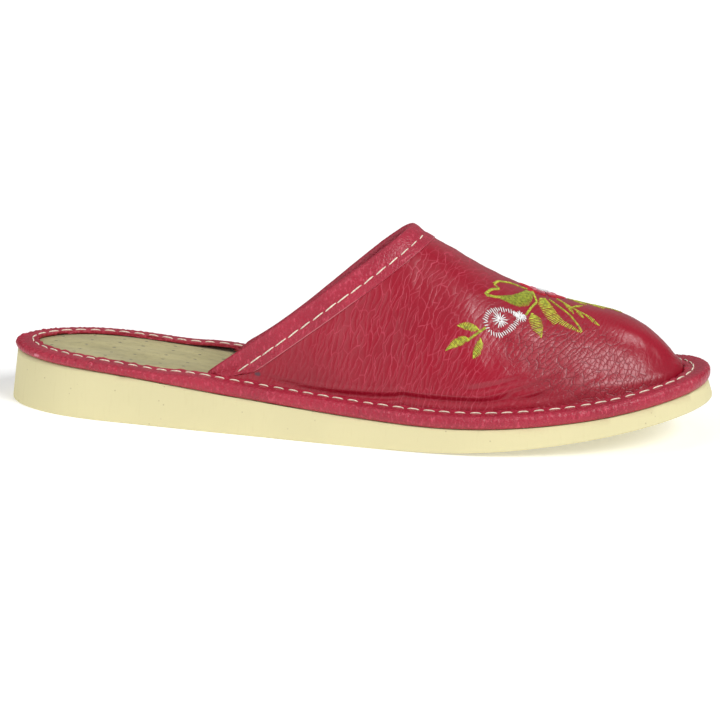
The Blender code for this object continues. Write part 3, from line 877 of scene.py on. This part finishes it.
class SLIPPER_OT_collar_band(bpy.types.Operator):
    """Folded leather band over the collar"""

    bl_idname = "slipper.collar_band"
    bl_label = "Collar band"
    bl_options = {"REGISTER", "UNDO"}

    TRIMMED = 1.5 * MM  # how much narrower than its solid the outer flap is cut
    TUCKED = 2.2 * MM  # how far the ends reach under the rim strip
    PRESSED = 0.55  # share of its gap to the vamp that the outer flap loses
    ABOVE_VAMP = 0.36 * MM  # the outer face stays at least this far off the vamp

    def execute(self, context):
        sizes, colours = context.scene.slipper_sizes, context.scene.slipper_colours
        mesh = rounded(copied_solid("collar_binding"), 2)
        places, facings = vertex_places(mesh), vertex_facings(mesh)
        along, behind = from_fold(places)
        ground, upright, gap = self.on_vamp(places)
        outside = ease((outward_share(ground, upright) + 0.2) / 0.4)
        back = (places - FOLD[along]) / np.maximum(behind, 1e-6)[:, None]
        trim = rise(behind, 3.5, 10) * self.TRIMMED * outside
        places = places - back * trim[:, None]
        for end, next_to, start in ((0, 12, 0), (-1, -13, FOLD_RUN[-1])):
            onward = FOLD[end] - FOLD[next_to]
            near_end = rise(np.abs(FOLD_RUN[along] - start), 6, 0)
            places = places + onward / np.linalg.norm(onward) * (near_end * self.TUCKED)[:, None]
        ground, upright, gap = self.on_vamp(places)
        flat = gap * (1 - outside * rise(behind, 2, 7) * self.PRESSED)
        outer = outside * ease(((facings * upright).sum(axis=1) - 0.3) / 0.4)
        flat = np.where(outer > 0.5, np.maximum(flat, self.ABOVE_VAMP), flat)
        places = ground + upright * flat[:, None] + (places - ground - upright * gap[:, None])
        along, behind = from_fold(places)
        height = waves(places, 21, 5 * MM) * 0.05 * MM + waves(places, 22, 2.2 * MM) * 0.02 * MM
        height -= bell(behind, sizes.collar_seam / MM, 0.7) * outer * sizes.seam_pull
        move_vertices(mesh, places + facings * height[:, None])
        write_map(mesh, "band", np.stack([FOLD_RUN[along], behind], axis=1))
        edge = float(np.percentile(behind[outer > 0.5], 99)) - 0.2 * MM
        finish = strip_leather("band leather", colours, "band", edge)
        add_piece("collar_band", mesh, finish, "binding_leather", "collar_binding")
        SURFACES["band"] = surface_of(mesh)
        return {"FINISHED"}

    @staticmethod
    def on_vamp(places):
        """Nearest places on the vamp, their facings and the distance off it."""
        found = [SURFACES["vamp"].find_nearest(place) for place in places]
        ground, upright = np.array([f[0] for f in found]), np.array([f[1] for f in found])
        return ground, upright, ((places - ground) * upright).sum(axis=1)


class SLIPPER_OT_rim_strip(bpy.types.Operator):
    """Leather strip wrapped round the edge of the sole, with small puckers"""

    bl_idname = "slipper.rim_strip"
    bl_label = "Rim strip"
    bl_options = {"REGISTER", "UNDO"}

    TUCKED = 1.3 * MM  # how far the cut edge reaches under the toe of the vamp
    TRIMMED = 1.2 * MM  # how much narrower the strip is behind the collar on the inner side
    WANDER = 0.35 * MM  # how far the cut edge wanders
    CURL = 0.60  # how far the cut edge curls up, in mm
    CURL_CHANGE = 0.22  # how much that changes from place to place, in mm
    LAID_FLAT = 0.8  # share of the curl that is missing behind the collar on the inner side

    def execute(self, context):
        sizes, colours = context.scene.slipper_sizes, context.scene.slipper_colours
        form = copied_solid("rim_binding")
        lengthwise = [edge for edge in form.edges if self.runs_round(edge)]
        bmesh.ops.subdivide_edges(form, edges=lengthwise, cuts=2, use_grid_fill=True)
        mesh = rounded(form, 2)
        places, facings = vertex_places(mesh), vertex_facings(mesh)
        run, inward = round_the_edge(places)
        trimmed = rise(places[:, 1], 4, 12) * rise(places[:, 0], -20, -40)
        height = self.puckers(run) * (0.30 + 0.70 * rise(inward, 3.5, -0.5)) * sizes.pucker
        height += waves(places, 33, 1.8 * MM) * 0.03 * MM
        height -= bell(inward, sizes.rim_seam / MM, 0.8) * sizes.seam_pull
        places = places + facings * (height * ease((facings[:, 2] + 0.3) / 0.3))[:, None]

        # The cut edge wanders, reaches under the toe and curls up, less behind the collar on the inner side
        nearest = np.searchsorted(OUTLINE_RUN, run).clip(0, len(OUTLINE) - 1)
        move = self.round_waves(run, 34, (13, 47, 119)) * self.WANDER
        move += rise(places[:, 0], 50, 75) * self.TUCKED - trimmed * self.TRIMMED
        places += OUTLINE_INWARD[nearest] * (move * rise(inward, 6.8, 8.3))[:, None]
        curl = self.CURL + self.CURL_CHANGE * self.round_waves(run, 35, (61, 97, 131))
        curl *= rise(inward, 5.6, 8.2) * MM
        places[:, 2] += curl * (1 - self.LAID_FLAT * trimmed) * (facings[:, 2] > -0.9)
        move_vertices(mesh, places)
        finish = strip_leather("rim leather", colours, scuff=SCUFF)
        add_piece("rim_strip", mesh, finish, "binding_leather", "rim_binding")
        SURFACES["rim"] = surface_of(mesh)
        return {"FINISHED"}

    @staticmethod
    def runs_round(edge):
        """Whether an edge runs along the strip, and not across it."""
        middle = (edge.verts[0].co + edge.verts[1].co) / 2
        step = edge.verts[1].co - edge.verts[0].co
        nearest = np.argmin(((OUTLINE[:, :2] - (middle.x, middle.y)) ** 2).sum(axis=1))
        inward = Vector(OUTLINE_INWARD[nearest])
        level = Vector((step.x, step.y, 0))
        return level.length > 0.5 * step.length and abs(level.normalized().dot(inward)) < 0.6

    @staticmethod
    def round_waves(run, seed, counts):
        """Swells that fit round the strip a whole number of times, about -1 to 1."""
        draw = np.random.default_rng(seed)
        turn = 2 * math.pi * run / OUTLINE_LENGTH
        total = sum(np.sin(turn * count + draw.uniform(0, 2 * math.pi)) for count in counts)
        return total / len(counts) ** 0.5

    def puckers(self, run):
        """Small folds across the strip, stronger in some stretches."""
        strength = 0.65 + 0.45 * self.round_waves(run, 32, (3, 7, 11))
        return self.round_waves(run, 31, (151, 197, 243, 311, 347)) * np.clip(strength, 0.2, 1.2)


# Threads

PROUD = 0.30  # how far a stitch's middle stands up, in shares of its thickness
SUNK = 0.55  # how far its ends go down from there, in the same shares
BLUNT = 3.2  # a power: the higher, the later a stitch thins towards its ends
STRAY = 0.08 * MM  # how far a seam's stitch is from its even place
SEAM_ARCH = 0.05 * MM  # how far a seam's stitch arches up


def thread_shape(sides, rings):
    """One stitch of unit length and thickness along X, thick in the middle and sunk at its ends."""
    form = bmesh.new()
    turned = Matrix.Rotation(math.pi / 2, 4, "Y")
    bmesh.ops.create_uvsphere(form, u_segments=sides, v_segments=rings, radius=0.5, matrix=turned)
    for vert in form.verts:
        x = vert.co.x * 2
        full = max(1e-6, 1 - x * x) ** 0.5
        blunt = max(0.0, 1 - abs(x) ** BLUNT) ** 0.5
        vert.co.y *= blunt / full
        vert.co.z *= blunt / full
        vert.co.z += PROUD - SUNK * abs(x) ** 5
    return mesh_of(form, "stitch")


def lay_threads(name, stitches, sides, rings):
    """Mesh with a thread for each stitch, given by start, end, facing, thickness and arch."""
    shape = thread_shape(sides, rings)
    form = bmesh.new()
    count = len(shape.vertices)
    for start, end, facing, thick, arch in stitches:
        form.from_mesh(shape)
        form.verts.ensure_lookup_table()
        fresh = form.verts[-count:]
        for vert in fresh:
            vert.co.z += arch / thick * (1 - 4 * vert.co.x**2)
        way = end - start
        side = facing.cross(way).normalized() * thick
        up = way.cross(side).normalized() * thick
        place = Matrix((way, side, up)).transposed().to_4x4()
        place.translation = (start + end) / 2
        bmesh.ops.transform(form, matrix=place, verts=fresh)
    bpy.data.meshes.remove(shape)
    return mesh_of(form, name)


def seam(line, facings, sizes, length, slant):
    """Stitches at an even pitch along a line of points with facings, each turned a little."""
    run = run_along(line)
    count = int(run[-1] / sizes.stitch_pitch)
    pitch = run[-1] / count
    draw = np.random.default_rng(41)
    stitches = []
    for i in range(count):
        middle = (i + 0.5) * pitch + draw.normal() * STRAY
        half = length / 2 * draw.uniform(0.88, 1.06)
        facing = Vector(point_at(facings, run, middle))
        start, end = (Vector(point_at(line, run, at)) for at in (middle - half, middle + half))
        aside = facing.cross(end - start).normalized() * slant * draw.uniform(0.6, 1.4)
        stitches.append((start + aside, end - aside, facing, sizes.seam_thread, SEAM_ARCH))
    return stitches


def rim_seam_line(sizes):
    """Line on top of the rim strip at the seam's distance from the sole's edge, with its facings."""
    surface = SURFACES["rim"]
    points, facings = [], []
    inset = OUTLINE + OUTLINE_INWARD * sizes.rim_seam
    for point in [*inset[::2], inset[0]]:
        hit, facing, _, _ = surface.ray_cast((point[0], point[1], ABOVE), (0, 0, -1))
        if hit is not None:
            points.append(hit)
            facings.append(facing)
    return np.array(points), np.array(facings)


OFF_BAND = 12 * MM  # far enough outside the collar band to aim at its outer face


def collar_seam_line(sizes):
    """Line on the outside of the band at the seam's distance from its fold, with its facings."""
    surface = SURFACES["band"]
    points, facings = [], []
    for i in range(0, len(FOLD), 2):
        point = FOLD[i]
        ahead = Vector(FOLD[min(i + 2, len(FOLD) - 1)] - FOLD[max(i - 2, 0)]).normalized()
        away = Vector((0, point[1] - AXIS_Y, point[2] - CHART.levels[0])).normalized()
        start = Vector(point) + Vector((2.5 * MM, 0, 0))
        place, facing, _, _ = surface.ray_cast(start + away * OFF_BAND, -away)
        if place is None:
            continue
        for _ in range(40):
            left = sizes.collar_seam - FOLD_TREE.find(place)[2]
            if abs(left) < 0.02 * MM:
                break
            forward = facing.cross(ahead)
            forward *= 1 if forward.x > 0 else -1
            onward = place + forward.normalized() * left * 0.7
            out = Vector((0, onward.y - AXIS_Y, onward.z - CHART.level(onward.x))).normalized()
            hit, upright, _, _ = surface.ray_cast(onward + out * OFF_BAND, -out)
            if hit is None:
                break
            place, facing = hit, upright
        if abs(left) < 0.5 * MM:
            points.append(place)
            facings.append(facing)
    return softened(points, 10, False), softened(facings, 10, False)


# The embroidery is drawn on the vamp's chart, in mm
STEP = 0.4  # between the points of a drawn line
JITTER = 0.07  # how far the ends of a stitch stray
ROSE_CENTRE = np.array((47.6, -4.2))
ROSE_SIZE = np.array((9.2, 8.0))  # half its length and half its width


def chart_line(points, rounds=4):
    """A soft line through chart places."""
    line, _ = even_line([(ahead, down, 0) for ahead, down in points], STEP, False)
    return softened(line, rounds, False)[:, :2]


def satin(one, other, pitch=0.66, skew=0.0, rounds=4):
    """Stitches side by side from one line to another, both drawn from base to tip."""
    one, other = chart_line(one, rounds), chart_line(other, rounds)

    def at(line, share):
        return point_at(line, np.arange(len(line)), np.clip(share, 0, 1) * (len(line) - 1))

    count = max(3, round((len(one) + len(other)) / 2 * STEP / pitch))
    draw = np.random.default_rng(len(one) * 31 + len(other))
    stitches = []
    for i in range(count):
        share = (i + 0.5) / count
        start, end = at(one, share + skew), at(other, share - skew)
        stitches.append((start + draw.normal(size=2) * JITTER, end + draw.normal(size=2) * JITTER))
    return stitches


def satin_band(points, width, pitch=0.50, lean=0.35, closed=False, uneven=0.0):
    """A narrow row of stitches laid across a line."""
    line = chart_line([*points, points[0]] if closed else points)
    run = run_along(line)
    count = max(2, round(run[-1] / pitch))
    draw = np.random.default_rng(len(line))
    stitches = []
    for i in range(count):
        here = (i + 0.5) / count * run[-1]
        middle, before, after = (point_at(line, run, at) for at in (here, here - STEP, here + STEP))
        along = (after - before) / np.linalg.norm(after - before)
        across = np.array((-along[1], along[0])) + along * lean
        half = width / 2 * (1 + uneven * draw.uniform(-1, 1))
        stitches.append((middle - across * half, middle + across * half))
    return stitches


def leaf(base, tip, width):
    """A pointed leaf filled with stitches from edge to edge."""
    base, tip = np.array(base, float), np.array(tip, float)
    along = tip - base
    side = np.array((-along[1], along[0])) / np.linalg.norm(along) * width / 2
    shares = ((0, 0), (0.2, 0.75), (0.45, 1), (0.75, 0.68), (1, 0))  # of its length and half width
    edges = ([base + along * far + side * sign * wide for far, wide in shares] for sign in (1, -1))
    return satin(*edges, skew=0.05, rounds=2)


def star(centre, radius, rays):
    """Short stitches out from one point."""
    centre, draw = np.array(centre), np.random.default_rng(rays)
    stitches = []
    for i in range(rays):
        turn = 2 * math.pi * (i + draw.uniform(-0.2, 0.2)) / rays
        way = np.array((math.cos(turn), math.sin(turn)))
        stitches.append((centre + way * 0.15, centre + way * radius * draw.uniform(0.8, 1.1)))
    return stitches


def rose_petals(inner, outer):
    """Stitches outwards from the rose's middle, between two shares of its size."""
    petals, draw, stitches = 5, np.random.default_rng(77), []
    count = round(2 * math.pi * 8 * outer / 0.46)
    for i in range(count):
        turn = 2 * math.pi * i / count
        in_petal = (turn * petals / (2 * math.pi)) % 1
        edge = 1 - 0.20 * abs(2 * in_petal - 1) ** 3 - 0.07 * math.exp(-(((in_petal - 0.5) / 0.10) ** 2))
        if 0.04 < in_petal < 0.96:
            way = np.array((math.cos(turn), math.sin(turn))) * ROSE_SIZE * edge
            low, high = inner * draw.uniform(0.96, 1.04), outer * draw.uniform(0.97, 1.03)
            stitches.append((ROSE_CENTRE + way * low, ROSE_CENTRE + way * high))
    return stitches


def mirrored(stitches):
    """The same stitches on both sides of the rose's middle."""
    over = 2 * ROSE_CENTRE * (0, 1)
    return [*stitches, *(tuple(place * (1, -1) + over for place in stitch) for stitch in stitches)]


def sprig():
    """Lime leaves and stems of the motif, from the back to the front."""
    side = [
        *satin([(28.7, 33.4), (27.5, 32.1), (25.3, 32.0), (22.8, 33.2), (20.8, 35.5)],
               [(28.7, 33.4), (27.0, 35.0), (24.1, 35.9), (20.8, 35.5)], skew=0.06),
        *satin([(25.2, 38.5), (24.2, 37.7), (22.2, 38.7), (19.5, 41.5), (17.3, 46.3)],
               [(25.2, 38.5), (24.0, 41.4), (21.2, 43.6), (17.3, 46.3)], skew=0.06),
        *satin([(29.3, 35.7), (28.0, 38.2), (27.1, 41.5), (27.6, 44.6)],
               [(29.3, 35.7), (31.0, 38.1), (30.0, 42.3), (27.6, 44.6)], skew=-0.06),
        *satin_band([(24.6, 39.6), (27.8, 35.3), (31.0, 31.0)], 0.9),
        *satin_band([(42.5, 1.8), (36.3, 3.0), (32.5, 6.5), (31.3, 10.0)], 1.2),
        *satin_band([(31.3, 10.2), (33.6, 11.6), (31.0, 14.0), (29.2, 18.4)], 1.2),
        *satin_band([(29.4, 18.6), (32.6, 17.0), (34.6, 15.8)], 1.3),
        *satin_band([(44.4, 2.5), (47.1, 9.8), (45.6, 14.0), (44.3, 19.1)], 1.0),
        *satin([(45.9, 16.8), (45.0, 21.0), (47.0, 24.4), (50.5, 25.9)],
               [(46.6, 16.6), (49.9, 17.5), (51.2, 21.7), (50.5, 25.9)], skew=0.05),
        *satin([(47.5, 6.2), (47.3, 10.8), (50.5, 16.2), (53.9, 18.8)],
               [(50.0, 5.2), (52.8, 9.1), (55.4, 12.5), (57.8, 14.9)], skew=0.03),
        *satin([(55.6, 17.4), (60.1, 18.3), (64.3, 18.4)], [(57.4, 14.8), (61.0, 16.1), (64.3, 17.9)]),
        *satin_band([(51.0, 5.2), (55.4, 8.8), (59.4, 11.5), (63.1, 15.6), (64.4, 17.8)], 1.0),
        *satin_band([(53.5, 2.6), (57.5, 5.8), (61.5, 7.8), (65.5, 9.4)], 0.8),
        *leaf((56.4, 4.6), (60.6, 10.4), 2.2),
        *leaf((61.0, 7.4), (64.4, 11.4), 1.8),
        *leaf((64.9, 9.0), (70.0, 12.4), 2.2),
        *leaf((59.6, 6.4), (63.2, 3.0), 1.8),
    ]
    middle = [
        *satin_band([(56.5, -3.4), (61.4, -3.8), (68.0, -4.6), (72.0, -4.2)], 0.9),
        *leaf((58.5, -3.2), (64.0, 0.6), 2.4),
        *leaf((59.5, -5.0), (65.0, -9.0), 2.4),
        *leaf((65.0, -3.8), (70.5, 0.0), 2.2),
        *leaf((66.0, -5.2), (71.0, -8.8), 2.2),
        *leaf((71.4, -4.3), (77.0, -4.3), 2.4),
    ]
    return mirrored(side) + middle


def dark_leaf():
    """The filled lower half of the big leaf, in a darker green."""
    return mirrored(satin(
        [(42.1, 4.0), (39.8, 8.5), (37.9, 11.5), (35.8, 13.4), (33.4, 15.6)],
        [(45.0, 4.0), (45.8, 9.4), (44.9, 14.0), (41.6, 16.9), (37.0, 17.0), (33.4, 16.6)],
        pitch=0.48, skew=0.02))


def laid_on_vamp(stitches, thick, padding):
    """The stitches on the vamp as it is dressed, arched over it and raised by some padding."""
    laid = []
    for start, end in stitches:
        places = [CHART.place(SURFACES["vamp"], *(at * MM)) for at in (start, (start + end) / 2, end)]
        (low, _), (middle, facing), (high, _) = places
        arch = max(0.0, (middle - (low + high) / 2).dot(facing))
        laid.append((low, high, facing, thick, arch + padding))
    return laid


def blossoms():
    """White ring with a star in it and the small knot beside it."""
    ring = [(30.4, 29.0), (31.1, 25.1), (34.7, 21.6), (38.9, 20.3), (42.0, 20.6), (41.3, 24.4),
            (39.4, 28.0), (35.9, 31.6), (32.2, 32.0)]
    return mirrored([
        *satin_band(ring, 1.8, pitch=0.92, lean=0.1, closed=True, uneven=0.3),
        *star((35.6, 25.9), 3.0, 15),
        *star((42.3, 20.7), 2.5, 14),
        *satin_band([(39.6, 20.8), (42.0, 20.6), (44.2, 19.9)], 1.8, pitch=0.55, uneven=0.3),
    ])


def rose_middle():
    """Three crowded stars, one in the other."""
    return star(ROSE_CENTRE, 3.2, 24) + star(ROSE_CENTRE, 2.2, 17) + star(ROSE_CENTRE, 1.2, 9)


class SLIPPER_OT_seams(bpy.types.Operator):
    """Cream stitches of the collar band and of the rim strip"""

    bl_idname = "slipper.seams"
    bl_label = "Seams"
    bl_options = {"REGISTER", "UNDO"}

    # How far each end of a stitch lies off the line of the seam
    RIM_SLANT = 0.10 * MM
    COLLAR_SLANT = -0.16 * MM

    def execute(self, context):
        sizes, colours = context.scene.slipper_sizes, context.scene.slipper_colours
        stitches = seam(*rim_seam_line(sizes), sizes, sizes.rim_stitch, self.RIM_SLANT)
        stitches += seam(*collar_seam_line(sizes), sizes, sizes.stitch_length, self.COLLAR_SLANT)
        mesh = lay_threads("seam_stitches", stitches, 6, 8)
        finish = thread_finish("cream thread", colours.seam, 0.6, 0.80)
        add_piece("seam_stitches", mesh, finish, "seam_thread")
        return {"FINISHED"}


class SLIPPER_OT_embroidery(bpy.types.Operator):
    """Folk flowers and leaves in satin stitch on the vamp"""

    bl_idname = "slipper.embroidery"
    bl_label = "Embroidery"
    bl_options = {"REGISTER", "UNDO"}

    def execute(self, context):
        sizes, colours = context.scene.slipper_sizes, context.scene.slipper_colours
        # Name, stitches, colour, share of the colour in dark stretches, and padding in mm
        for name, stitches, colour, depth, padding in (
            ("lime_leaves", sprig(), colours.lime, 0.50, 0.0),
            ("green_leaves", dark_leaf(), colours.green, 0.55, 0.0),
            ("white_blossoms", blossoms(), colours.white, 0.88, 0.12),
            ("rose_petals", rose_petals(0.55, 1.0), colours.rose, 0.60, 0.0),
            ("pink_petals", rose_petals(0.30, 0.60), colours.pink, 0.70, 0.35),
            ("white_rose_middle", rose_middle(), colours.white, 0.80, 0.70),
        ):
            mesh = lay_threads(name, laid_on_vamp(stitches, sizes.silk, padding * MM), 5, 5)
            finish = thread_finish(name.replace("_", " "), colour, 0.42, depth)
            add_piece(name, mesh, finish, "embroidery_thread")
        return {"FINISHED"}


# Stage


def view_direction(azimuth, elevation):
    """Unit vector towards a place seen at an azimuth and elevation in degrees."""
    azimuth, elevation = math.radians(azimuth), math.radians(elevation)
    level = math.cos(elevation)
    return Vector((math.sin(azimuth) * level, -math.cos(azimuth) * level, math.sin(elevation)))


def soft_sun(name, azimuth, elevation, spread, strength):
    """A sun seen at an azimuth and elevation, with a spread in degrees."""
    light = bpy.data.lights.new(name, "SUN")
    light.angle = math.radians(spread)
    light.energy = strength
    lamp = bpy.data.objects.new(name, light)
    towards = view_direction(azimuth, elevation)
    lamp.location = towards * 2
    lamp.rotation_euler = towards.to_track_quat("Z", "Y").to_euler()
    bpy.context.scene.collection.objects.link(lamp)


class SLIPPER_OT_stage(bpy.types.Operator):
    """Pale floor, soft light and the camera"""

    bl_idname = "slipper.stage"
    bl_label = "Stage"
    bl_options = {"REGISTER", "UNDO"}

    AZIMUTH, ELEVATION, ROLL = 10.0, 14.0, 1.4
    TARGET = Vector((0.00162, -0.00283, 0.02193))
    DISTANCE = 1.0
    LENS = 135.48
    FLOOR = 15.0  # half the floor's width, wide enough that no view shows its end
    # Name, azimuth, elevation and spread in degrees, then strength
    SUNS = (
        ("toe side", 57, 39, 28, 2.3),
        ("above", -90, 76, 50, 0.5),
        ("behind", 170, 35, 60, 0.2),
        ("heel side", -50, 25, 60, 1.0),
    )

    def execute(self, context):
        form = bmesh.new()
        bmesh.ops.create_grid(form, x_segments=4, y_segments=4, size=self.FLOOR)
        mesh = mesh_of(form, "floor")
        finish = Finish("white floor", (0.92, 0.92, 0.92), 0.8)
        finish.set(finish.shader, {"Emission Color": (1, 1, 1), "Emission Strength": 0.27})
        mesh.materials.append(finish.material)
        floor = bpy.data.objects.new("floor", mesh)
        bpy.context.scene.collection.objects.link(floor)

        world = bpy.data.worlds.new("white room")
        world.use_nodes = True
        sky = world.node_tree.nodes["Background"].inputs
        sky["Color"].default_value, sky["Strength"].default_value = (1, 1, 1, 1), 0.14
        bpy.context.scene.world = world
        for name, azimuth, elevation, spread, strength in self.SUNS:
            soft_sun(name, azimuth, elevation, spread, strength)
        bpy.context.scene.view_settings.view_transform = "Standard"
        self.camera()
        return {"FINISHED"}

    def camera(self):
        """The photo's view of the slipper, turned a little about its own line of sight."""
        back = view_direction(self.AZIMUTH, self.ELEVATION)
        azimuth, roll = math.radians(self.AZIMUTH), math.radians(self.ROLL)
        right = Vector((math.cos(azimuth), math.sin(azimuth), 0))
        up = back.cross(right)
        across = right * math.cos(roll) + up * math.sin(roll)
        upward = up * math.cos(roll) - right * math.sin(roll)
        data = bpy.data.cameras.new("photo view")
        data.lens = self.LENS
        data.sensor_width = 36
        data.clip_start, data.clip_end = 0.05, 40
        camera = bpy.data.objects.new("photo view", data)
        place = Matrix((across, upward, back)).transposed().to_4x4()
        place.translation = self.TARGET + back * self.DISTANCE
        camera.matrix_world = place
        bpy.context.scene.collection.objects.link(camera)
        bpy.context.scene.camera = camera


OPERATORS = (
    SLIPPER_OT_sole,
    SLIPPER_OT_insole,
    SLIPPER_OT_vamp,
    SLIPPER_OT_collar_band,
    SLIPPER_OT_rim_strip,
    SLIPPER_OT_seams,
    SLIPPER_OT_embroidery,
    SLIPPER_OT_stage,
)


class SLIPPER_PT_panel(bpy.types.Panel):
    """Sizes, colours and pieces of the slipper"""

    bl_label = "Slipper"
    bl_idname = "SLIPPER_PT_panel"
    bl_space_type = "VIEW_3D"
    bl_region_type = "UI"
    bl_category = "Slipper"

    def draw(self, context):
        for group in (context.scene.slipper_sizes, context.scene.slipper_colours):
            box = self.layout.box()
            for name in group.__annotations__:
                box.prop(group, name)
        for operator in OPERATORS:
            self.layout.operator(operator.bl_idname)


CLASSES = (SlipperSizes, SlipperColours, *OPERATORS, SLIPPER_PT_panel)


def register():
    for cls in CLASSES:
        bpy.utils.register_class(cls)
    bpy.types.Scene.slipper_sizes = bpy.props.PointerProperty(type=SlipperSizes)
    bpy.types.Scene.slipper_colours = bpy.props.PointerProperty(type=SlipperColours)


def unregister():
    del bpy.types.Scene.slipper_sizes
    del bpy.types.Scene.slipper_colours
    for cls in reversed(CLASSES):
        bpy.utils.unregister_class(cls)


def main():
    register()
    for operator in OPERATORS:
        group, name = operator.bl_idname.split(".")
        getattr(getattr(bpy.ops, group), name)()


if __name__ == "__main__":
    main()
